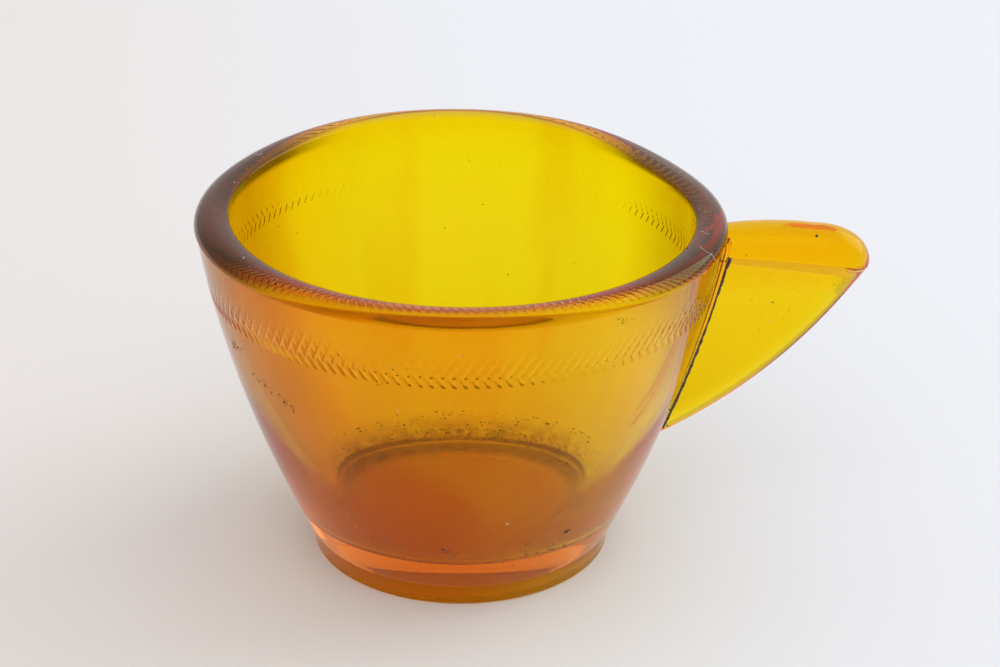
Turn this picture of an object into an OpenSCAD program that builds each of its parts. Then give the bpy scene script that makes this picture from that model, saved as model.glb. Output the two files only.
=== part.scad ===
// Small pressed-glass toy cup with a solid fin handle.
// The axis of the bowl is Z, the foot rests on Z = 0 and the handle points along +X.

/* [Bowl] */
// Radius of the rim at its widest, where it meets the wall
rim_r = 28; // [26:0.1:30]
// Height of the mould line where the wall ends and the rim begins
mould_line_z = 37.9; // [36:0.1:40]
// Height of the rim's crown above the mould line
crown_h = 1.55; // [1:0.05:2]
// Width of the rim, from the outer edge to the crisp inner edge
rim_w = 3.3; // [2.5:0.05:3.5]
// How far the inner edge of the rim lies below its crown
lip_drop = 0.6; // [0.2:0.05:0.8]
// Step from the rim in to the wall
rim_step = 0.15; // [0.05:0.01:0.3]
// How far the outer wall bulges beyond a straight cone
wall_bulge = 1.4; // [0:0.1:2]

/* [Foot and base] */
// Radius of the foot at its top
foot_r = 16.5; // [15.5:0.1:17]
// Height of the foot
foot_h = 2.5; // [2:0.1:3.5]
// How much narrower the foot is at the bottom
foot_draft = 0.35; // [0:0.05:0.8]
// Radius that rounds the foot's bottom edge
foot_round = 0.5; // [0.2:0.05:0.8]
// Width of the ring that the cup stands on
foot_ring_w = 3.2; // [1.5:0.1:4]
// Depth of the shallow hollow under the base
under_h = 0.45; // [0.2:0.05:0.6]

/* [Inside] */
// Radius inside, where the wall meets the turn into the floor
well_r = 14.7; // [14:0.1:15]
// Height of the flat inner floor
floor_z = 5.4; // [4.5:0.1:6]
// Width and height of the shallow turn between the floor and the wall
turn_w = 2.5; // [1:0.1:3]
turn_h = 0.8; // [0.5:0.1:1.5]
// How far the inner wall bulges beyond a straight cone
inner_bulge = 2.3; // [1.5:0.1:3]

/* [Handle] */
// How far the handle's tip stands out from the axis
tip_x = 43.1; // [38:0.1:46]
// Height of the handle's top edge
top_z = 37.4; // [35:0.1:37.5]
// Where along X the top edge is highest
top_x = 33; // [32:0.5:36]
// Half the handle's thickness near the bowl, and the radius of its round top
root_half = 2.7; // [2:0.1:3.2]
// Half the thickness near the tip
tip_half = 2.7; // [1.6:0.1:3]
// Length and height of the curve down to the tip, a quarter of an ellipse
nose_w = 5.7; // [4:0.1:7]
nose_h = 4; // [2:0.1:4.5]
// Half the thickness of the flat web below the round top
web_half = 1.55; // [1:0.05:2]
// Depth of the round top, from the top edge down to where its flanks meet the web
head_h = 8; // [5:0.25:9]
// Radius that rounds the lower edge
keel_round = 0.7; // [0.4:0.05:0.9]
// Height at which the lower edge meets the bowl
keel_z = 12.6; // [12:0.1:14]
// Height at which the lower edge meets the round tip
chin_z = 32.4; // [31:0.1:32.5]
// How far the lower edge bulges beyond a straight line
keel_bulge = 2.6; // [1:0.1:3.5]

/* [Hidden] */
// Facets of full circles, and steps along each curved stretch of an outline
$fn = 96;
arc_steps = 14;
top_steps = 9;
hull_fn = 32;
// Fall of the handle's top edge, per millimetre squared away from its highest point
top_fall = 0.014;
// Radius of the last sphere in the round top
nose_r = 1.7;
// How far the handle's outline runs on inside the wall, where it is trimmed off
root_run = 4;
// Radius of the wall where the handle's lower edge meets it, and how far that edge runs on inside
keel_x = 21.5;
keel_run = [4.5, 2.5];
// Ledge between the top of the foot and the wall
foot_ledge = 0.1;
// Ends of the outer wall, as radius and height
wall_foot = [foot_r + foot_ledge, foot_h];
wall_top = [rim_r - rim_step, mould_line_z];
// Crown of the rim, midway across it
crown_w = rim_w / 2;
crown_z = mould_line_z + crown_h;
// Ends of the inner wall
inner_edge = [rim_r - rim_w, crown_z - lip_drop];
well = [well_r, floor_z + turn_h];
// Radius of the contact ring's inner and outer edge
stand_r = foot_r - foot_draft - foot_round;
hollow_r = stand_r - foot_ring_w;

// Point at t (0 to 1) on a curve from p to q that bulges by sag to the right of p -> q
function bow_point(p, q, sag, t) =
    let (d = q - p, side = [d.y, -d.x] / norm(d))
    p + d * t + side * (4 * sag * t * (1 - t));

// Points of that curve, both ends included
function bow(p, q, sag) = [for (i = [0:arc_steps]) bow_point(p, q, sag, i / arc_steps)];

// Points on an ellipse about c with half axes a and b, from angle a0 to a1
function sweep(c, a, b, a0, a1) =
    [for (i = [0:arc_steps]) let (u = a0 + (a1 - a0) * i / arc_steps) c + [a * cos(u), b * sin(u)]];

// Outer outline from the middle of the base up to the crown of the rim
function outer_outline() = concat(
    [[0, under_h], [hollow_r - under_h, under_h], [hollow_r, 0]],
    sweep([stand_r, foot_round], foot_round, foot_round, -90, 0),
    [[foot_r, foot_h]],
    bow(wall_foot, wall_top, wall_bulge),
    sweep([rim_r - crown_w, mould_line_z], crown_w, crown_h, 0, 90)
);

// Inner outline from the crown of the rim down to the middle of the floor
function inner_outline() = concat(
    sweep([rim_r - crown_w, inner_edge.y], crown_w, lip_drop, 90, 180),
    bow(inner_edge, well, -inner_bulge),
    sweep([well_r - turn_w, floor_z + turn_h], turn_w, turn_h, 0, -90),
    [[0, floor_z]]
);

// Solid of revolution with the bowl's outer shape and no hollow
module bowl_outside() {
    rotate_extrude() polygon(concat(outer_outline(), [[0, crown_z]]));
}

// Bowl: foot, thick base, wall and rounded rim, turned about Z
module bowl() {
    color([0.85, 0.5, 0.08])
        rotate_extrude() polygon(concat(outer_outline(), inner_outline()));
}

// How far x is along the curve down to the tip, from 0 to 1
function nose_part(x) = max(x - (tip_x - nose_w), 0) / nose_w;

// Height of the handle's top edge at x
function top_edge(x) =
    top_z - top_fall * pow(min(x, tip_x - nose_w) - top_x, 2) - nose_h * (1 - sqrt(1 - pow(nose_part(x), 2)));

// Half the handle's thickness at x, along its top edge
function half_at(x) =
    min(root_half + (tip_half - root_half) * (x - (rim_r - root_run)) / (tip_x - rim_r), tip_x - x);

// Pair of small spheres that span the web's thickness at p, a point in the handle's outline
module web_point(p) {
    for (side = [-1, 1])
        translate([p.x, side * (web_half - keel_round), p.y]) sphere(keel_round, $fn = hull_fn);
}

// Fin before it is trimmed: a round top whose flanks draw in to a flat web with a narrow lower edge
module fin() {
    top_from = rim_r - root_run;
    top_to = tip_x - nose_r;
    keel_from = [keel_x - keel_run.x, keel_z - keel_run.y];
    keel_to = [tip_x - keel_round, chin_z];
    flank_from = [top_from, top_z - head_h];
    hull() {
        for (i = [0:top_steps])
            let (x = top_from + (top_to - top_from) * i / top_steps, r = half_at(x))
                translate([x, 0, top_edge(x) - r]) sphere(r, $fn = hull_fn);
        web_point(flank_from);
        web_point(keel_to);
    }
    hull() {
        for (p = bow(keel_from, keel_to, keel_bulge)) web_point(p);
        web_point([top_from, top_edge(top_from) - root_half]);
        web_point([top_to, top_edge(top_to) - nose_r]);
    }
}

// Handle: the fin, trimmed to the outside of the bowl
module handle() {
    color([0.95, 0.75, 0.1])
        difference() {
            fin();
            bowl_outside();
        }
}

bowl();
handle();
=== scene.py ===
"""Small amber pressed-glass cup with a fin handle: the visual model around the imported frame."""
import math
from collections import namedtuple

import bmesh
import bpy
import numpy as np
from mathutils import Matrix, Vector


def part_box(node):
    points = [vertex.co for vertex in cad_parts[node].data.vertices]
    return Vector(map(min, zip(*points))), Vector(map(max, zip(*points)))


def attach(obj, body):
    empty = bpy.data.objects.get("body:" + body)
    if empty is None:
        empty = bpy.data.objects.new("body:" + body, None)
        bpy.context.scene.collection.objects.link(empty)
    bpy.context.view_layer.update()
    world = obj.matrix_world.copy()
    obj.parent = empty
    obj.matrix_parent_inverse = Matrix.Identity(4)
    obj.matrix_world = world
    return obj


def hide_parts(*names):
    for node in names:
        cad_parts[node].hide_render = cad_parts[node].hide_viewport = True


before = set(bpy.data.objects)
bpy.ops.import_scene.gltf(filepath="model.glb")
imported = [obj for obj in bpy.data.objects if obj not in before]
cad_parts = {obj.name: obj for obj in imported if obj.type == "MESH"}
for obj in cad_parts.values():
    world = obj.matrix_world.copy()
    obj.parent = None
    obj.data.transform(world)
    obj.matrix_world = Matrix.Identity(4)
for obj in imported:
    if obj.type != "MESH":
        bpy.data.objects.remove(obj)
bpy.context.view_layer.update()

MM = 0.001

# ---------------------------------------------------------------- sizes, in millimetres
_, bowl_hi = (np.array(corner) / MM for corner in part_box("bowl"))
_, handle_hi = (np.array(corner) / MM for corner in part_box("handle"))

RIM_R = bowl_hi[0]                 # outer radius at the mould line
HEIGHT = bowl_hi[2]                # crown of the rim
CROWN_H = 1.55                     # crown above the mould line
MOULD_Z = HEIGHT - CROWN_H
RIM_W = 3.3
CROWN_W = RIM_W / 2
CROWN_R = RIM_R - CROWN_W          # radius of the crown, midway across the rim
LIP_DROP = 0.6                     # inner edge below the crown
RIM_STEP = 0.15
WALL_BULGE = 1.4

FOOT_R = 16.5
FOOT_H = 2.5
FOOT_DRAFT = 0.35
FOOT_ROUND = 0.5
FOOT_LEDGE = 0.1
FOOT_RING_W = 3.2
STAND_R = FOOT_R - FOOT_DRAFT - FOOT_ROUND
HOLLOW_R = STAND_R - FOOT_RING_W   # the shallow hollow under the base
HOLLOW_RISE = 1.0                  # width of the slope into it
UNDER_H = 0.45

WELL_R = 14.7
FLOOR_Z = 5.4
TURN_W = 2.5
TURN_H = 0.8
INNER_BULGE = 2.3
AXIS_R = 0.6                       # outlines end this far from the axis, and a cap closes them

TIP_X = handle_hi[0]
TOP_Z = handle_hi[2]
TOP_X = 33.0
TOP_FALL = 0.014
HEAD_HALF = 2.7
NOSE_W = 5.7                       # the curve down to the tip, a quarter of an ellipse
NOSE_H = 4.0
WEB_HALF = 1.5
BROW = 3.0                         # how far in from the top edge the round head is still turning over
BROW_LINE = (34.5, -0.092)         # height of the head's lower border where it meets the rim, and its slope
BROW_STEP = (1.4, 0.3)             # height of the steeper part just below that, and its share of the step
UNDERCUT = (5.8, -0.16)            # height over which the head draws in to the web at the rim, and its slope
KEEL_EDGE = 2.4                    # depth over which the web thins to its lower edge
KEEL_BULGE = 2.6
CHIN_Z = 32.6
CHIN_BACK = 0.05                   # the lower edge ends this far short of the tip
ROOT_RUN = 4.0                     # how far the fin runs on inside the wall, where it is trimmed off
KEEL_START = (17.0, 10.1)          # where the lower edge starts inside the wall
SPINE_START = (RIM_R - ROOT_RUN - 4, 24.0)    # the middle of the fin's root, well inside the wall

WALL_FOOT = np.array([FOOT_R + FOOT_LEDGE, FOOT_H])
WALL_TOP = np.array([RIM_R - RIM_STEP, MOULD_Z])


# ---------------------------------------------------------------- curves
def bow(p, q, sag, n):
    """n + 1 points from p to q on a curve that bulges by sag to the right of p -> q."""
    p, q = np.array(p, float), np.array(q, float)
    d = q - p
    side = np.array([d[1], -d[0]]) / np.linalg.norm(d)
    t = np.linspace(0, 1, n + 1)[:, None]
    return p + d * t + side * (4 * sag * t * (1 - t))


def sweep(centre, a, b, start, end, n):
    """n + 1 points on an ellipse about centre, from one angle in degrees to another."""
    u = np.radians(np.linspace(start, end, n + 1))
    return np.c_[centre[0] + a * np.cos(u), centre[1] + b * np.sin(u)]


def length_along(points):
    """Distance of each point from the first, along the polyline."""
    return np.r_[0, np.cumsum(np.linalg.norm(np.diff(points, axis=0), axis=1))]


def resample(points, at):
    """Points at the given distances along a polyline."""
    s = length_along(points)
    return np.c_[np.interp(at, s, points[:, 0]), np.interp(at, s, points[:, 1])]


def fillet(a, b, radius, n=6):
    """Joins curve b to the end of curve a, with the corner between them rounded."""
    la, lb = length_along(a), length_along(b)
    keep_a = a[la < la[-1] - radius]
    keep_b = b[lb > radius]
    start = resample(a, [la[-1] - radius])[0]
    end = resample(b, [radius])[0]
    corner = a[-1]
    t = np.linspace(0, 1, n + 1)[:, None]
    turn = start * (1 - t) ** 2 + corner * 2 * t * (1 - t) + end * t ** 2
    return np.vstack([keep_a, turn, keep_b])


def straight(p, q, n):
    """n + 1 points on a straight line."""
    return bow(p, q, 0, n)


# ---------------------------------------------------------------- the bowl
KNURL_TOP = 2.2                    # the knurled band, measured down the wall from the mould line
KNURL_LONG = 5.9                   # where the long strokes end, and where the short ones below them end
KNURL_END = 7.0
KNURL_COUNT = 150
KNURL_DEPTH = 0.12
KNURL_LEAN = math.tan(math.radians(30))
MID_R, MID_SLOPE = 15.6, 0.31      # a cone midway between the inner and the outer wall


def outer_wall():
    """The outer wall from foot to mould line, with close rows where the knurled band is."""
    wall = bow(WALL_FOOT, WALL_TOP, WALL_BULGE, 200)
    total = length_along(wall)[-1]
    low = total - KNURL_END - 0.6
    high = total - KNURL_TOP + 1.0
    step = 0.1
    close = np.arange(low, high - step / 2, step)
    return resample(wall, np.r_[np.linspace(0, low, 40)[:-1], close, np.linspace(high, total, 8)])


def outer_profile():
    """Outer outline from the middle of the underside to the crown of the rim."""
    rim_of_hollow = [HOLLOW_R - HOLLOW_RISE, UNDER_H]
    under = straight([AXIS_R, UNDER_H], rim_of_hollow, 12)
    rise = straight(rim_of_hollow, [HOLLOW_R, 0], 4)
    stand = straight([HOLLOW_R, 0], [STAND_R, 0], 4)
    heel = sweep((STAND_R, FOOT_ROUND), FOOT_ROUND, FOOT_ROUND, -90, 0, 8)
    foot = straight(heel[-1], [FOOT_R, FOOT_H], 6)
    line = fillet(under, rise, 0.5)
    line = fillet(line, stand, 0.2)
    line = np.vstack([line, heel[1:-1]])
    line = fillet(np.vstack([line, foot]), straight(foot[-1], WALL_FOOT, 1), 0.03)
    line = fillet(line, outer_wall(), 0.08)
    step = straight(WALL_TOP, [RIM_R, MOULD_Z], 2)
    rim = sweep((CROWN_R, MOULD_Z), CROWN_W, CROWN_H, 0, 90, 36)
    line = fillet(line, step, 0.06)
    return fillet(line, rim, 0.07)


def inner_profile():
    """Inner outline from the crown of the rim down to the middle of the floor."""
    edge = [RIM_R - RIM_W, HEIGHT - LIP_DROP]
    crown = sweep((CROWN_R, edge[1]), CROWN_W, LIP_DROP, 90, 165, 20)
    crown = np.vstack([crown, edge])
    wall = bow(edge, [WELL_R, FLOOR_Z + TURN_H], -INNER_BULGE, 70)
    turn = sweep((WELL_R - TURN_W, FLOOR_Z + TURN_H), TURN_W, TURN_H, 0, -90, 14)
    flat = straight(turn[-1], [AXIS_R, FLOOR_Z], 16)
    line = fillet(crown, wall, 0.14)
    return np.vstack([line, turn[1:], flat[1:]])


def knurl(theta, down):
    """Depth of the knurled marks: long slanted strokes that deepen downwards, and short ones across them."""
    turn = theta * KNURL_COUNT / (2 * math.pi)
    shift = down * KNURL_LEAN / (2 * math.pi * RIM_R / KNURL_COUNT)
    stroke = (0.5 + 0.5 * np.cos(2 * math.pi * (turn + shift))) ** 3
    across = (0.5 + 0.5 * np.cos(2 * math.pi * (turn - shift))) ** 3
    deeper = np.clip((down - KNURL_TOP) / (KNURL_LONG - KNURL_TOP), 0, 1)
    long_part = deeper ** 1.5 * np.clip((KNURL_LONG - down) / 0.25, 0, 1)
    short_part = np.clip((down - KNURL_LONG + 0.4) / 0.5, 0, 1) * np.clip((KNURL_END - down) / 0.3, 0, 1)
    strokes = np.maximum(long_part * np.maximum(stroke, 0.45 * across), short_part * across)
    # the tool bit deeper in some places than in others
    uneven = 0.8 + 0.14 * np.sin(3 * theta + 0.6) + 0.1 * np.sin(17 * theta) * np.sin(5 * theta + 1)
    return KNURL_DEPTH * uneven * strokes


def lobe(theta, middle, width):
    """A smooth hump about one direction; angles in degrees."""
    off = np.degrees(np.angle(np.exp(1j * (theta - math.radians(middle)))))
    return np.exp(-(off / width) ** 2)


def sway(x, y, z):
    """Unevenness of a hand-finished pressing: the rim dips towards the handle and isn't quite round."""
    theta = np.arctan2(y, x)
    r = np.hypot(x, y)
    high = np.clip(z / HEIGHT, 0, 1.02) ** 3
    towards = 0.5 + 0.5 * np.cos(theta)
    dz = -0.55 * high * towards ** 2
    dr = high * (0.1 * np.cos(2 * theta + 0.5) - 0.65 * lobe(theta, 30, 26) - 0.4 * lobe(theta, 158, 24))
    # the rim is thicker towards the inside at the back, on both sides
    inside = np.clip((MID_R + MID_SLOPE * z + 1 - r) / 2, 0, 1)
    near_rim = np.clip((z - 26) / 14, 0, 1) ** 2
    thick = 1.3 * lobe(theta, 32, 24) + 0.8 * lobe(theta, 145, 22) + 0.5 * lobe(theta, 195, 35)
    dr = dr - inside * near_rim * thick
    scale = np.where(r > 1e-9, (r + dr * np.clip(r / 20, 0, 1)) / np.maximum(r, 1e-9), 1)
    return x * scale, y * scale, z + dz


def mesh_object(name, verts, faces, material=None):
    """A smooth-shaded object from points in metres and faces."""
    mesh = bpy.data.meshes.new(name)
    mesh.from_pydata([tuple(v) for v in verts], [], faces)
    mesh.update()
    mesh.shade_smooth()
    obj = bpy.data.objects.new(name, mesh)
    bpy.context.scene.collection.objects.link(obj)
    if material is not None:
        mesh.materials.append(material)
    return obj


def revolve(name, outline, around, relief=None, warp=None):
    """A closed solid turned about Z from an outline that starts and ends near the axis."""
    theta = np.linspace(0, 2 * math.pi, around, endpoint=False)
    n = len(outline)
    tangent = np.gradient(outline, axis=0)
    normal = np.c_[tangent[:, 1], -tangent[:, 0]]
    normal /= np.linalg.norm(normal, axis=1)[:, None]
    r = np.repeat(outline[:, :1], around, axis=1)
    z = np.repeat(outline[:, 1:], around, axis=1)
    if relief is not None:
        cut = relief(theta[None, :], outline)
        r = r - cut * normal[:, :1]
        z = z - cut * normal[:, 1:]
    x, y = r * np.cos(theta), r * np.sin(theta)
    if warp is not None:
        x, y, z = warp(x, y, z)
    verts = np.c_[x.ravel(), y.ravel(), z.ravel()]
    ends = np.array([[0, 0, z[0].mean()], [0, 0, z[-1].mean()]])
    verts = np.vstack([verts, ends]) * MM
    i = np.arange(n - 1)[:, None] * around
    j = np.arange(around)[None, :]
    k = (j + 1) % around
    quads = np.stack([i + j, i + k, i + around + k, i + around + j], axis=-1).reshape(-1, 4)
    faces = quads.tolist()
    first, last = n * around, n * around + 1
    top = (n - 1) * around
    for a in range(around):
        b = (a + 1) % around
        faces.append([first, b, a])
        faces.append([last, top + a, top + b])
    return mesh_object(name, verts, faces)


def bowl_relief(theta, outline):
    """Knurl depth for each row of the outline; only rows on the outer wall carry it."""
    rows = length_along(outline)
    corner = int(np.argmin(np.linalg.norm(outline - WALL_TOP, axis=1)))
    down = rows[corner] - rows
    outside = (np.arange(len(outline)) < corner) & (outline[:, 1] > FOOT_H + 1)
    return np.where(outside[:, None], knurl(theta, down[:, None]), 0)


def make_bowl():
    """The whole bowl as one closed solid."""
    outline = np.vstack([outer_profile(), inner_profile()[1:]])
    around = 1500
    return revolve("bowl_glass", outline, around, bowl_relief, sway)


# ---------------------------------------------------------------- the handle
def top_edge(x):
    """Height of the handle's top edge before it curves down to the tip."""
    return TOP_Z - TOP_FALL * (x - TOP_X) ** 2


def fin_half(x, z):
    """Half the fin's thickness: a thick round head that draws in below its widest part to a flat web."""
    border = BROW_LINE[0] + BROW_LINE[1] * (x - RIM_R)
    step = np.clip((border - z) / BROW_STEP[0], 0, 1)
    taper = np.clip((border - z) / (UNDERCUT[0] + UNDERCUT[1] * (x - RIM_R)), 0, 1)
    fall = BROW_STEP[1] * step + (1 - BROW_STEP[1]) * taper
    return WEB_HALF + (HEAD_HALF - WEB_HALF) * (1 - fall)


def fin_outline(steps, nose_steps):
    """The fin's outline: lower edge, nose, then the top edge back to the root."""
    nose_x = TIP_X - NOSE_W
    nose = np.array([nose_x, top_edge(nose_x) - NOSE_H])
    chin = np.array([TIP_X - CHIN_BACK, CHIN_Z])
    keel = bow(KEEL_START, chin, KEEL_BULGE, steps)
    crown_x = np.linspace(nose_x, RIM_R - ROOT_RUN, steps + 1)
    crown = np.c_[crown_x, top_edge(crown_x)]
    front = sweep(nose, NOSE_W, NOSE_H, -4, 90, nose_steps)
    brow = bow(chin, front[0], 0.0, 6)
    return nose, np.vstack([keel, brow[1:-1], front, crown[1:]])


def fin_rings(nose, outline, steps, deep):
    """One flank of the fin, as rings from its outline in to a spine."""
    # the spine runs from the root, midway between the two edges, to the middle of the nose
    base = np.array(SPINE_START)
    count = len(outline)
    spine = np.zeros_like(outline)
    line = base + (nose - base) * np.linspace(0, 1, steps + 1)[:, None]
    spine[: steps + 1] = line
    spine[steps + 1: count - steps] = nose
    spine[count - steps - 1:] = line[::-1]
    tangent = np.gradient(outline, axis=0)
    inward = np.c_[-tangent[:, 1], tangent[:, 0]]
    inward /= np.linalg.norm(inward, axis=1)[:, None]
    reach = np.maximum(((spine - outline) * inward).sum(1), 1e-3)
    # how far in from its outline the fin is still turning over
    where = length_along(outline)
    chin_at, crown_at = where[steps], where[count - steps - 1]
    blend = np.clip((where - chin_at + 1.0) / (crown_at - chin_at + 1.0), 0, 1)
    blend = blend * blend * (3 - 2 * blend)
    radius = KEEL_EDGE + (BROW - KEEL_EDGE) * blend
    depth = np.minimum(radius, reach * 0.98)
    rings = []
    for part in np.linspace(0, 1, deep + 1):
        # more rings close to the edge, where the surface turns
        if part <= 0.5:
            d = depth * (1 - math.cos(part * math.pi))
        else:
            d = depth + (reach - depth) * (part - 0.5) / 0.5
        p = outline + (spine - outline) * (d / reach)[:, None]
        edge = np.clip(d / radius, 0, 1)
        bulge = np.sqrt(np.clip(1 - (1 - edge) ** 2, 0, 1))
        y = fin_half(p[:, 0], p[:, 1]) * bulge
        rings.append(np.c_[p[:, 0], y, p[:, 1]])
    return rings


def make_fin(name):
    """The whole fin, running on inside the wall."""
    steps = 80
    nose_steps = 48
    deep = 44
    nose, outline = fin_outline(steps, nose_steps)
    rings = fin_rings(nose, outline, steps, deep)
    count = len(outline)
    verts, faces = [], []
    for side in (1, -1):
        start = len(verts)
        for ring in rings:
            verts.extend((v[0], side * v[1], v[2]) for v in ring)
        for a in range(deep):
            for b in range(count - 1):
                corner = start + a * count + b
                quad = [corner, corner + 1, corner + count + 1, corner + count]
                faces.append(quad if side < 0 else quad[::-1])
    obj = mesh_object(name, np.array(verts) * MM, faces)
    mend(obj, close=True)
    return obj


def boolean(target, cutter, operation):
    """Joins the cutter to the target, or cuts it away, and keeps the result as the target's mesh."""
    mod = target.modifiers.new("cut", "BOOLEAN")
    mod.operation = operation
    mod.solver = "EXACT"
    mod.object = cutter
    bpy.context.view_layer.update()
    deps = bpy.context.evaluated_depsgraph_get()
    mesh = bpy.data.meshes.new_from_object(target.evaluated_get(deps))
    target.modifiers.clear()
    old = target.data
    target.data = mesh
    bpy.data.meshes.remove(old)


PAD_THICK = 0.9                    # the handle's root spreads into a thin pad on the wall
PAD_HALF = (2.1, 3.9)              # half its width at the bottom and at the top
PAD_ROOT = 0.5                     # how far the pad reaches into the wall, where it is trimmed off
GAP = 0.02                         # the handle stands this far off the wall
JOINT_LOW, JOINT_HIGH = 13.0, 36.9


def wall_radius(z):
    """Radius of the outer wall at a height."""
    wall = bow(WALL_FOOT, WALL_TOP, WALL_BULGE, 60)
    return np.interp(z, wall[:, 1], wall[:, 0])


def pad_thickness(share):
    """Thickness at the pad's middle, which grows from its bottom (0) to its top (1)."""
    return PAD_THICK * (0.4 + 0.6 * share)


def make_pad(name):
    """A thin pad that follows the wall behind the handle, as a closed grid of two faces and their edges."""
    rows, cols = ((90, 32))
    z = np.linspace(JOINT_LOW, JOINT_HIGH, rows)[:, None]
    share = (z - JOINT_LOW) / (JOINT_HIGH - JOINT_LOW)
    half = PAD_HALF[0] + (PAD_HALF[1] - PAD_HALF[0]) * np.sqrt(share)
    across = np.linspace(-1, 1, cols)[None, :]
    base = wall_radius(z)
    theta = half / base * across
    ends = np.clip(np.minimum(share, 1 - share) / 0.03, 0, 1)
    thick = pad_thickness(share) * (1 - np.abs(across) ** 5) ** 0.6 * np.sqrt(ends)
    verts = []
    for r in (base - PAD_ROOT + 0 * thick, base + thick):
        x, y, zz = sway(r * np.cos(theta), r * np.sin(theta), z + 0 * r)
        verts.append(np.stack([x, y, zz], axis=-1).reshape(-1, 3))
    count = rows * cols
    faces = []
    for i in range(rows - 1):
        for j in range(cols - 1):
            a = i * cols + j
            faces.append([a, a + cols, a + cols + 1, a + 1])
            faces.append([count + a, count + a + 1, count + a + cols + 1, count + a + cols])
    loop = list(range(cols)) + [i * cols + cols - 1 for i in range(1, rows)]
    loop += [(rows - 1) * cols + j for j in range(cols - 2, -1, -1)]
    loop += [i * cols for i in range(rows - 2, 0, -1)]
    for a, b in zip(loop, loop[1:] + loop[:1]):
        faces.append([a, b, count + b, count + a])
    obj = mesh_object(name, np.vstack(verts) * MM, faces)
    mend(obj)
    return obj


def mend(obj, close=False):
    """Merges doubled points, closes any open edge if asked, and turns every face outwards."""
    bm = bmesh.new()
    bm.from_mesh(obj.data)
    bmesh.ops.remove_doubles(bm, verts=bm.verts, dist=1e-6)
    if close:
        border = [e for e in bm.edges if len(e.link_faces) == 1]
        bmesh.ops.holes_fill(bm, edges=border, sides=0)
    bmesh.ops.recalc_face_normals(bm, faces=bm.faces)
    bm.to_mesh(obj.data)
    bm.free()
    obj.data.shade_smooth()


def make_handle():
    """The fin and its pad, trimmed just clear of the bowl."""
    handle = make_fin("handle_glass")
    pad = make_pad("pad")
    boolean(handle, pad, "UNION")
    outline = outer_profile()
    outline = np.vstack([outline, [AXIS_R, outline[-1, 1]]])
    around = 600
    cutter = revolve("cutter", outline, around, lambda theta, line: -GAP + 0 * theta, sway)
    boolean(handle, cutter, "DIFFERENCE")
    for helper in (pad, cutter):
        bpy.data.objects.remove(helper)
    return handle


# ---------------------------------------------------------------- materials
IOR = 1.52
SHEEN_TINT = (1, 0.66, 0.04)       # the polished surface's own reflection is tinted too
ABSORBS_BOWL = (0.002, 0.043, 1.8) # red, green and blue light lost per millimetre of glass
ABSORBS_HANDLE = (0.004, 0.135, 1.8)
POLISHED, WORN, GROUND = 0.03, 0.26, 0.7      # roughness
WORN_FROM, WORN_TOP = 9.0, 20.0    # the inside is worn dull up to here, less and less between these heights
GLASS_TINTS = (                    # from the foot (0) to the rim (1)
    (0.0, (1, 0.93, 0.3)),
    (0.3, (1, 0.84, 0.25)),
    (0.6, (1, 0.84, 0.35)),
    (0.9, (1, 0.88, 0.5)),
    (0.97, (1, 0.8, 0.4)),
)
# painted shade: the deeper amber of the glass on its side away from the key lamp
SHADED_SIDE_TINT = (0.95, 0.66, 0.4)
SHADED_SIDE = math.radians(217)         # the side that painted shade turns a deeper amber, away from the key lamp
# painted shade for both sides of the outer wall, seen at a slant
SLANT_SHADE_TINT = (0.42, 0.28, 0.2)
FILM_TINT = (0.42, 0.28, 0.2)
# painted shade: the rim's dark crown on both sides
RIM_SHADE_TINT = (0.045, 0.03, 0.05)
# painted amber shadow of the cup, cast across the paper on the left
PAINTED_AMBER_SHADOW = (0.825, 0.785, 0.765)
PAPER_COOL = (0.83, 0.845, 0.885)
# painted pool of light on the paper under the cup
PAINTED_GLOW_UNDER_CUP = (0.98, 0.93, 0.88)
MATT = 0.9                         # roughness of paper, dirt and dust

Spot = namedtuple("Spot", "vector x y z radius")


def new_material(name):
    """An empty node material and its output."""
    mat = bpy.data.materials.new(name)
    mat.use_nodes = True
    nt = mat.node_tree
    nt.nodes.clear()
    out = nt.nodes.new("ShaderNodeOutputMaterial")
    return mat, nt, out


def glass(name, tint, per_mm):
    """Clear amber glass: tinted at its surface, and darker the further light travels through it."""
    mat, nt, out = new_material(name)
    p = nt.nodes.new("ShaderNodeBsdfPrincipled")
    p.inputs["Base Color"].default_value = (*tint, 1)
    p.inputs["Transmission Weight"].default_value = 1
    p.inputs["IOR"].default_value = IOR
    p.inputs["Specular Tint"].default_value = (*SHEEN_TINT, 1)
    p.inputs["Roughness"].default_value = POLISHED
    nt.links.new(p.outputs["BSDF"], out.inputs["Surface"])
    vol = nt.nodes.new("ShaderNodeVolumeAbsorption")
    most = max(per_mm)
    vol.inputs["Density"].default_value = most / MM
    vol.inputs["Color"].default_value = (*(1 - c / most for c in per_mm), 1)
    nt.links.new(vol.outputs["Volume"], out.inputs["Volume"])
    return mat, nt, p


def maths(nt, operation, a, b=0.0, clamp=False):
    """One step of arithmetic in a node tree; a and b are numbers or other nodes' outputs."""
    node = nt.nodes.new("ShaderNodeMath")
    node.operation = operation
    node.use_clamp = clamp
    for socket, value in zip(node.inputs, (a, b)):
        if isinstance(value, (int, float)):
            socket.default_value = value
        else:
            nt.links.new(value, socket)
    return node.outputs[0]


def times(nt, value, *others):
    """The product of several values."""
    for other in others:
        value = maths(nt, "MULTIPLY", value, other)
    return value


def ramp_between(nt, value, start, end, at_start, at_end):
    """A value that runs from at_start to at_end as the input runs from start to end."""
    node = nt.nodes.new("ShaderNodeMapRange")
    node.interpolation_type = "SMOOTHSTEP"
    node.inputs["From Min"].default_value = start
    node.inputs["From Max"].default_value = end
    node.inputs["To Min"].default_value = at_start
    node.inputs["To Max"].default_value = at_end
    nt.links.new(value, node.inputs["Value"])
    return node.outputs["Result"]


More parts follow.
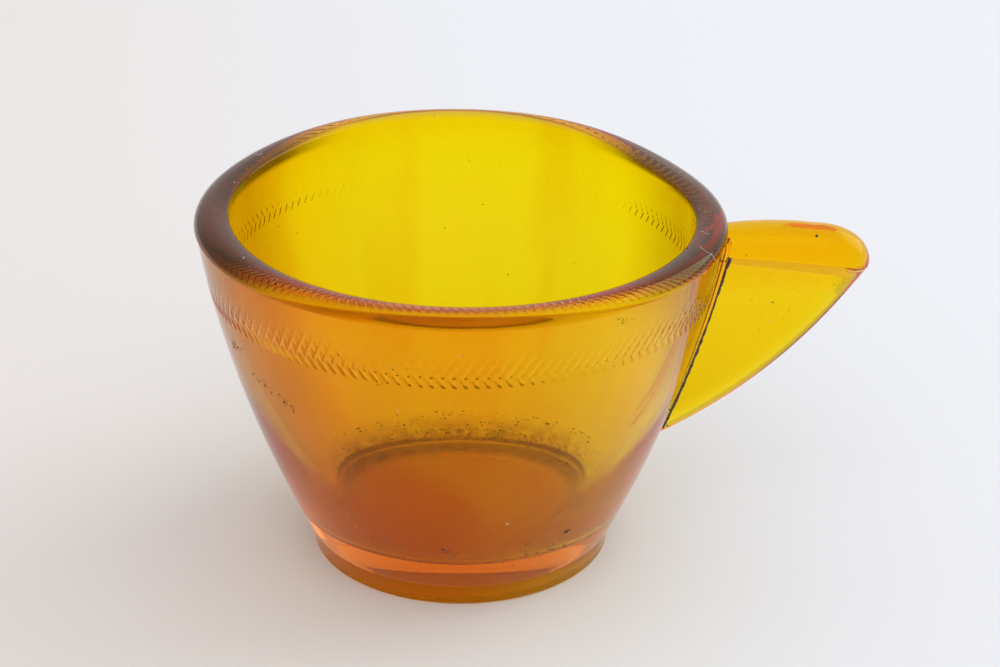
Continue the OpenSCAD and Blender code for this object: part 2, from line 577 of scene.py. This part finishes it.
def colour_steps(nt, value, steps):
    """A colour ramp over the value, from (position, colour) pairs in rising order."""
    node = nt.nodes.new("ShaderNodeValToRGB")
    ramp = node.color_ramp
    first, last = ramp.elements[0], ramp.elements[1]
    first.position, first.color = steps[0][0], (*steps[0][1], 1)
    last.position, last.color = steps[-1][0], (*steps[-1][1], 1)
    for position, colour in steps[1:-1]:
        ramp.elements.new(position).color = (*colour, 1)
    nt.links.new(value, node.inputs["Fac"])
    return node.outputs["Color"]


def blend_colour(nt, how, colour, other, share):
    """A colour mixed with or multiplied by a constant one, as far as the share says."""
    mix = nt.nodes.new("ShaderNodeMix")
    mix.data_type = "RGBA"
    mix.blend_type = how
    first, second = (socket for socket in mix.inputs if socket.type == "RGBA")
    nt.links.new(colour, first)
    second.default_value = (*other, 1)
    nt.links.new(share, mix.inputs["Factor"])
    return next(socket for socket in mix.outputs if socket.type == "RGBA")


def noise(nt, vector, scale, detail=2):
    """Soft noise from 0 to 1."""
    node = nt.nodes.new("ShaderNodeTexNoise")
    node.inputs["Scale"].default_value = scale
    node.inputs["Detail"].default_value = detail
    nt.links.new(vector, node.inputs["Vector"])
    return node.outputs["Fac"]


def object_vector(nt):
    """The shaded point in the object's own frame, in metres."""
    return nt.nodes.new("ShaderNodeTexCoord").outputs["Object"]


def spot(nt):
    """That point with its coordinates, and its distance from the bowl's axis."""
    vector = object_vector(nt)
    split = nt.nodes.new("ShaderNodeSeparateXYZ")
    nt.links.new(vector, split.inputs[0])
    x, y, z = (split.outputs[axis] for axis in "XYZ")
    radius = maths(nt, "SQRT", maths(nt, "ADD", times(nt, x, x), times(nt, y, y)))
    return Spot(vector, x, y, z, radius)


def is_inside(nt, at):
    """1 on the inner wall and floor, 0 on the outer wall."""
    cone = maths(nt, "ADD", times(nt, at.z, MID_SLOPE), MID_R * MM)
    return maths(nt, "LESS_THAN", at.radius, cone)


def bowl_roughness(nt, at, inside):
    """The underside is ground, the inside is worn dull low down, and the rest is fire-polished."""
    worn = ramp_between(nt, at.z, WORN_FROM * MM, WORN_TOP * MM, WORN - POLISHED, 0.0)
    under = ramp_between(nt, at.z, (UNDER_H + 0.05) * MM, (UNDER_H + 0.15) * MM, GROUND, POLISHED)
    return maths(nt, "ADD", times(nt, worn, inside), under)


def painted_side_shade(nt, at, off_axis):
    """How much painted shade deepens the amber: more towards the left-front side, away from the key lamp,
    and in soft upright streaks.
    """
    east, north = times(nt, at.x, math.cos(SHADED_SIDE)), times(nt, at.y, math.sin(SHADED_SIDE))
    facing = maths(nt, "DIVIDE", maths(nt, "ADD", east, north), off_axis)
    side = ramp_between(nt, facing, -0.3, 0.85, 0.0, 0.95)
    stretch = nt.nodes.new("ShaderNodeMapping")
    stretch.inputs["Scale"].default_value = (1, 1, 0.12)
    nt.links.new(at.vector, stretch.inputs["Vector"])
    streaks = ramp_between(nt, noise(nt, stretch.outputs["Vector"], 130), 0.52, 0.75, 0.0, 0.45)
    return maths(nt, "ADD", side, streaks, clamp=True)


def painted_slant_shade(nt, at, sideways, inside):
    """Painted shade on the outer wall on both sides, where the glass is looked through at a slant; higher up
    on the right.
    """
    slant = ramp_between(nt, sideways, 0.7, 0.98, 0.0, 1.0)
    height = maths(nt, "SUBTRACT", at.z, times(nt, at.x, 0.3))
    upper = ramp_between(nt, height, 10 * MM, 22 * MM, 0.0, 1.0)
    return times(nt, slant, upper, maths(nt, "SUBTRACT", 1, inside))


def dirt_film(nt, at, inside):
    """A brown film in the turn round the inner floor, patchy and thickest at the back."""
    patchy = ramp_between(nt, noise(nt, at.vector, 700), 0.3, 0.65, 0.45, 1.0)
    outward = ramp_between(nt, at.radius, (WELL_R - TURN_W) * MM, (WELL_R - 1.2) * MM, 0.0, 1.0)
    low = ramp_between(nt, at.z, (FLOOR_Z + 0.6) * MM, (FLOOR_Z + 3.2) * MM, 1.0, 0.0)
    back = ramp_between(nt, at.y, -5 * MM, 11 * MM, 0.12, 1.0)
    return times(nt, patchy, outward, low, back, inside)


def painted_rim_shade(nt, at, sideways):
    """Painted shade on the polished rim, which is darkest on both sides."""
    dark = ramp_between(nt, sideways, 0.5, 0.85, 0.0, 1.0)
    crown = ramp_between(nt, at.z, (MOULD_Z - 0.4) * MM, (MOULD_Z + 0.5) * MM, 0.0, 1.0)
    return times(nt, dark, crown)


def bowl_material():
    """The bowl's glass, with a tint that changes over its surface."""
    mat, nt, p = glass("bowl_glass", (1, 0.8, 0.5), ABSORBS_BOWL)
    at = spot(nt)
    inside = is_inside(nt, at)
    off_axis = maths(nt, "MAXIMUM", at.radius, 1 * MM)
    sideways = maths(nt, "DIVIDE", maths(nt, "ABSOLUTE", at.x), off_axis)
    nt.links.new(bowl_roughness(nt, at, inside), p.inputs["Roughness"])
    tint = colour_steps(nt, maths(nt, "DIVIDE", at.z, HEIGHT * MM), GLASS_TINTS)
    # painted shade on the left-front side, away from the key lamp
    tint = blend_colour(nt, "MULTIPLY", tint, SHADED_SIDE_TINT, painted_side_shade(nt, at, off_axis))
    # painted shade on both sides of the outer wall
    tint = blend_colour(nt, "MULTIPLY", tint, SLANT_SHADE_TINT, painted_slant_shade(nt, at, sideways, inside))
    tint = blend_colour(nt, "MULTIPLY", tint, FILM_TINT, dirt_film(nt, at, inside))
    # painted shade on both sides of the rim
    tint = blend_colour(nt, "MULTIPLY", tint, RIM_SHADE_TINT, painted_rim_shade(nt, at, sideways))
    nt.links.new(tint, p.inputs["Base Color"])
    return mat


def handle_material():
    """The handle's glass, which is clear at its surface."""
    return glass("handle_glass", (1, 1, 1), ABSORBS_HANDLE)[0]


def matt(name, colour_of):
    """A matt material; colour_of makes its colour in the node tree."""
    mat, nt, out = new_material(name)
    p = nt.nodes.new("ShaderNodeBsdfPrincipled")
    nt.links.new(colour_of(nt), p.inputs["Base Color"])
    p.inputs["Roughness"].default_value = MATT
    nt.links.new(p.outputs["BSDF"], out.inputs["Surface"])
    return mat


def floor_material():
    """White paper with a painted amber shadow towards the left, and a painted pool of light under the cup,
    so that the base glows.
    """

    def colour(nt):
        at = spot(nt)
        # painted amber shadow towards the left
        across = maths(nt, "ADD", at.x, times(nt, at.y, 0.15))
        share = ramp_between(nt, across, -0.06, 0.04, 0.0, 1.0)
        paper = colour_steps(nt, share, ((0.0, PAINTED_AMBER_SHADOW), (1.0, PAPER_COOL)))
        # painted pool of light under the cup, so that the base glows
        below = ramp_between(nt, at.radius, 13 * MM, FOOT_R * MM, 1.0, 0.0)
        return blend_colour(nt, "MIX", paper, PAINTED_GLOW_UNDER_CUP, below)

    return matt("floor_paper", colour)


def dirt_material(name, dark, light, size_mm):
    """Dry dirt or dust, whose colour varies in small patches."""

    def colour(nt):
        patches = noise(nt, object_vector(nt), 1 / (size_mm * MM), 3)
        return colour_steps(nt, patches, ((0.35, dark), (0.7, light)))

    return matt(name, colour)


# ---------------------------------------------------------------- dirt and dust
def swayed(theta_deg, r, z):
    """A point at a direction, radius and height on the uneven bowl."""
    theta = math.radians(theta_deg)
    return np.array(sway(r * math.cos(theta), r * math.sin(theta), z), float)


def on_wall(theta_deg, z):
    """A point on the bowl's outer wall."""
    return swayed(theta_deg, float(wall_radius(z)), z)


def tube(name, path, radii, material, sides=7):
    """A thin closed tube along a path of points, with a radius at each."""
    path = np.array(path, float)
    along = np.gradient(path, axis=0)
    along /= np.linalg.norm(along, axis=1)[:, None]
    first = np.cross(along, [0.3, 0.2, 1.0])
    first /= np.linalg.norm(first, axis=1)[:, None]
    second = np.cross(along, first)
    turn = np.linspace(0, 2 * math.pi, sides, endpoint=False)
    rings = [
        centre + r * (np.cos(turn)[:, None] * a + np.sin(turn)[:, None] * b)
        for centre, r, a, b in zip(path, radii, first, second)
    ]
    faces = []
    for i in range(len(path) - 1):
        for j in range(sides):
            k = (j + 1) % sides
            faces.append([i * sides + j, i * sides + k, (i + 1) * sides + k, (i + 1) * sides + j])
    faces.append(list(range(sides))[::-1])
    faces.append([(len(path) - 1) * sides + j for j in range(sides)])
    obj = mesh_object(name, np.vstack(rings) * MM, faces, material)
    mend(obj)
    return obj


def crumbs(name, places, sizes, rng, material):
    """Many small lumps in one piece, each at its own place and of its own size, and none quite round."""
    bm = bmesh.new()
    for place, size in zip(places, sizes):
        new = bmesh.ops.create_icosphere(bm, subdivisions=1, radius=1.0)["verts"]
        stretch = rng.uniform(0.6, 1.5, 3)
        for v in new:
            v.co = Vector((np.array(place) + np.array(v.co) * size * stretch * rng.uniform(0.8, 1.2)) * MM)
    mesh = bpy.data.meshes.new(name)
    bm.to_mesh(mesh)
    bm.free()
    mesh.shade_smooth()
    mesh.materials.append(material)
    obj = bpy.data.objects.new(name, mesh)
    bpy.context.scene.collection.objects.link(obj)
    return obj


INNER = inner_profile()
CREASE_LOW, CREASE_HIGH = 13.6, 34.2


def crease_path(side, count=90):
    """Where the fin's flank meets the pad, from the lower edge up to the head; side is -1 or 1."""
    z = np.linspace(CREASE_LOW, CREASE_HIGH, count)
    share = (z - JOINT_LOW) / (JOINT_HIGH - JOINT_LOW)
    r = wall_radius(z) + pad_thickness(share) + 0.05
    half = fin_half(r, z) + 0.02
    theta = np.arctan2(side * half, r)
    x, y, zz = sway(np.hypot(r, half) * np.cos(theta), np.hypot(r, half) * np.sin(theta), z)
    return np.c_[x, y, zz]


def make_creases(material):
    """The line of dirt caught in the corner on each side of the handle."""
    rng = np.random.default_rng(11)
    parts = []
    for side in (-1, 1):
        path = crease_path(side)
        rough = np.convolve(rng.uniform(-1, 1, len(path) + 8), np.ones(3) / 3, "same")[4:-4]
        share = np.linspace(0, 1, len(path))
        radii = 0.16 + 0.06 * np.sin(share * math.pi) + 0.09 * rough
        # a small hook at the top, where the dirt turns the corner onto the rim
        top = path[-1]
        hook = top + np.array([[0.15, 0.0, 0.35], [-0.25, side * 0.15, 0.55], [-0.75, side * 0.3, 0.35]])
        path = np.vstack([path, hook])
        radii = np.r_[radii, 0.16, 0.15, 0.07]
        parts.append(tube("crease_grime_right" if side < 0 else "crease_grime_left", path, radii, material))
    return parts


def rim_height(off):
    """Height of the rim's surface at a distance outward of its crown, as a share of half its width."""
    lift = math.sqrt(max(1 - min(off * off, 1), 0))
    return MOULD_Z + CROWN_H * lift if off > 0 else HEIGHT - LIP_DROP * (1 - lift)


def scatter(rng, count):
    """Places on the bowl's outer wall, the rim, the inner wall and the handle's flanks."""
    places = []
    for _ in range(count):
        spot_on = rng.uniform()
        theta = rng.uniform(0, 360)
        if spot_on < 0.5:
            places.append(on_wall(theta, 4 + 33 * rng.uniform() ** 0.8))
        elif spot_on < 0.68:
            off = math.cos(math.radians(rng.uniform(5, 150)))
            places.append(swayed(theta, CROWN_R + CROWN_W * off, rim_height(off)))
        elif spot_on < 0.85:
            r, z = INNER[rng.integers(len(INNER) // 3, len(INNER))]
            places.append(swayed(theta, r, z))
        else:
            x = rng.uniform(30, 41)
            z = rng.uniform(top_edge(x) - 14 + 0.6 * (x - 30), top_edge(x) - 3.5)
            if z > 14 + 1.1 * (x - 24):
                side = rng.choice([-1, 1])
                places.append(np.array([x, side * float(fin_half(x, z)), z]))
    return places


def floor_ring(rng, count):
    """Grains of dirt in the turn between the inner floor and the wall, thickest at the back."""
    turn = INNER[(INNER[:, 0] > WELL_R - TURN_W) & (INNER[:, 1] < FLOOR_Z + 3.2)]
    places = []
    for _ in range(count):
        theta = math.radians(rng.normal(80, 58))
        r, z = turn[rng.integers(len(turn))]
        places.append(np.array([r * math.cos(theta), r * math.sin(theta), z + 0.02]))
    return places


SMUDGES = (                        # direction in degrees, height and spread
    (219, 25.8, 0.9),
    (226, 24.8, 0.6),
    (267, 8.3, 0.7),
    (305, 9.0, 0.35),
    (209, 28.5, 0.8),
    (39, 22, 0.7),
    (118, 12, 0.6),
)
FIN_MARKS = ((37.2, 36.5, 0.14), (33.0, 28.7, 0.12), (39.3, 31.0, 0.1))    # X, Z and size
DUST_MARKS = ((284, 12.3, 0.13), (239, 15.0, 0.09))    # direction, height and size
LINT = ((214, 0.7), (338, 2.6), (345, 1.4), (150, 1.6), (75, 1.2))     # direction and length of each fibre


def on_fin(x, z):
    """A place on the front flank of the handle."""
    edge = min((top_edge(x) - z) / BROW, 1)
    return np.array([x, -fin_half(x, z) * math.sqrt(1 - (1 - edge) ** 2), z])


def make_dirt(rng, material):
    """Dark specks all over, smudges, marks on the handle and the ring round the inner floor."""
    places = scatter(rng, 130)
    sizes = list(0.035 + 0.06 * rng.uniform(size=len(places)) ** 3)
    for theta, z, spread in SMUDGES:
        for _ in range(26):
            a, b = rng.normal(0, spread, 2)
            places.append(on_wall(theta + 2.2 * a, z + 0.5 * b - 0.25 * a))
            sizes.append(rng.uniform(0.03, 0.09))
    for x, z, size in FIN_MARKS:
        places.append(on_fin(x, z))
        sizes.append(size)
    ring = floor_ring(rng, 1500)
    places += ring
    sizes += list(0.035 + 0.09 * rng.uniform(size=len(ring)) ** 3)
    return crumbs("dirt_specks", places, sizes, rng, material)


def make_dust(rng, material):
    """Pale specks of dust, two of them larger."""
    places = scatter(rng, 210)
    sizes = list(0.028 + 0.05 * rng.uniform(size=len(places)) ** 3)
    for theta, z, size in DUST_MARKS:
        places.append(on_wall(theta, z))
        sizes.append(size)
    return crumbs("dust_specks", places, sizes, rng, material)


def make_lint(material):
    """Short curled fibres lying on the rim."""
    rng = np.random.default_rng(3)
    steps = 16
    parts = []
    for i, (theta, length) in enumerate(LINT):
        t = math.radians(theta)
        heading = rng.uniform(0, 2 * math.pi)
        at = np.array([CROWN_R * math.cos(t), CROWN_R * math.sin(t)])
        path = []
        for _ in range(steps):
            off = (math.hypot(*at) - CROWN_R) / CROWN_W
            path.append(sway(at[0], at[1], rim_height(off) + 0.05))
            heading += rng.normal(0, 0.55)
            at = at + length / steps * np.array([math.cos(heading), math.sin(heading)])
        parts.append(tube(f"lint_{i + 1}", path, [0.022] * steps, material, sides=5))
    return parts


# ---------------------------------------------------------------- build
bowl = make_bowl()
bowl.data.materials.append(bowl_material())
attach(bowl, "root")
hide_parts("bowl")

handle = make_handle()
handle.data.materials.clear()
handle.data.materials.append(handle_material())
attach(handle, "root")
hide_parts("handle")

dark_dirt = dirt_material("seam_dirt", (0.02, 0.012, 0.008), (0.16, 0.13, 0.1), 0.25)
pale_dust = dirt_material("pale_dust", (0.55, 0.5, 0.44), (0.85, 0.83, 0.8), 0.2)
for piece in make_creases(dark_dirt):
    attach(piece, "root")
speck_rng = np.random.default_rng(5)
specks = make_dirt(speck_rng, dark_dirt)
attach(specks, "root")
for piece in [make_dust(speck_rng, pale_dust), *make_lint(pale_dust)]:
    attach(piece, "root")

# ---------------------------------------------------------------- stage
FLOOR_TOP = -0.05 * MM              # just under the foot, so that the two faces never coincide
FLOOR_HALF = 3.0
LAMP_AIM = Vector((0, 0, 0.02))
SKY = ((0.0, (0.72, 0.72, 0.74)), (0.45, (0.82, 0.83, 0.86)), (0.9, (1.0, 1.0, 1.0)))


def make_floor():
    """A wide flat sheet."""
    turns = ((-1, -1), (1, -1), (1, 1), (-1, 1))
    corners = [(x * FLOOR_HALF, y * FLOOR_HALF, FLOOR_TOP) for x, y in turns]
    return mesh_object("floor", corners, [[0, 1, 2, 3]], floor_material())


def make_world():
    """A pale studio all round, brighter above and dimmer on the left."""
    world = bpy.data.worlds.new("studio")
    bpy.context.scene.world = world
    world.use_nodes = True
    nt = world.node_tree
    nt.nodes.clear()
    out = nt.nodes.new("ShaderNodeOutputWorld")
    background = nt.nodes.new("ShaderNodeBackground")
    split = nt.nodes.new("ShaderNodeSeparateXYZ")
    nt.links.new(nt.nodes.new("ShaderNodeTexCoord").outputs["Generated"], split.inputs[0])
    nt.links.new(colour_steps(nt, split.outputs["Z"], SKY), background.inputs["Color"])
    strength = ramp_between(nt, split.outputs["X"], -1.0, 0.1, 0.55, 1.015)
    nt.links.new(strength, background.inputs["Strength"])
    nt.links.new(background.outputs["Background"], out.inputs["Surface"])


def softbox(name, place, size, power):
    """A rectangular lamp that faces the cup."""
    lamp = bpy.data.lights.new(name, "AREA")
    lamp.shape = "RECTANGLE"
    lamp.size, lamp.size_y = size
    lamp.energy = power
    obj = bpy.data.objects.new(name, lamp)
    bpy.context.scene.collection.objects.link(obj)
    obj.location = place
    obj.rotation_euler = (LAMP_AIM - Vector(place)).to_track_quat("-Z", "Y").to_euler()


floor = make_floor()
make_world()
softbox("key", (0.75, 0.3, 0.55), (0.7, 0.7), 2.4)
softbox("front", (-0.15, -0.85, 0.9), (1.1, 0.9), 2.3)

# ---------------------------------------------------------------- camera
ELEVATION = math.radians(26.06)
ROLL = math.radians(0.42)
DISTANCE = 0.300
FOCAL_PX = 2803
IMAGE_W = 1000
TARGET = Vector((4.17, 0, 24.06)) * MM


def make_camera():
    """The camera, in front of the cup and above it, looking down at the target."""
    cam = bpy.data.cameras.new("camera")
    cam.sensor_width = 36
    cam.lens = FOCAL_PX / IMAGE_W * cam.sensor_width
    cam.clip_start = 0.01
    cam.clip_end = 20
    camera = bpy.data.objects.new("camera", cam)
    bpy.context.scene.collection.objects.link(camera)
    back = Vector((0, -math.cos(ELEVATION), math.sin(ELEVATION)))
    camera.location = TARGET + back * DISTANCE
    turn = (-back).to_track_quat("-Z", "Y").to_matrix().to_4x4()
    camera.rotation_euler = (turn @ Matrix.Rotation(ROLL, 4, "Z")).to_euler()
    return camera


bpy.context.scene.camera = make_camera()

cycles = bpy.context.scene.cycles
cycles.max_bounces = 40
cycles.transmission_bounces = 32
cycles.glossy_bounces = 24
bpy.context.scene.view_settings.view_transform = "Standard"
bpy.context.scene.view_settings.look = "None"
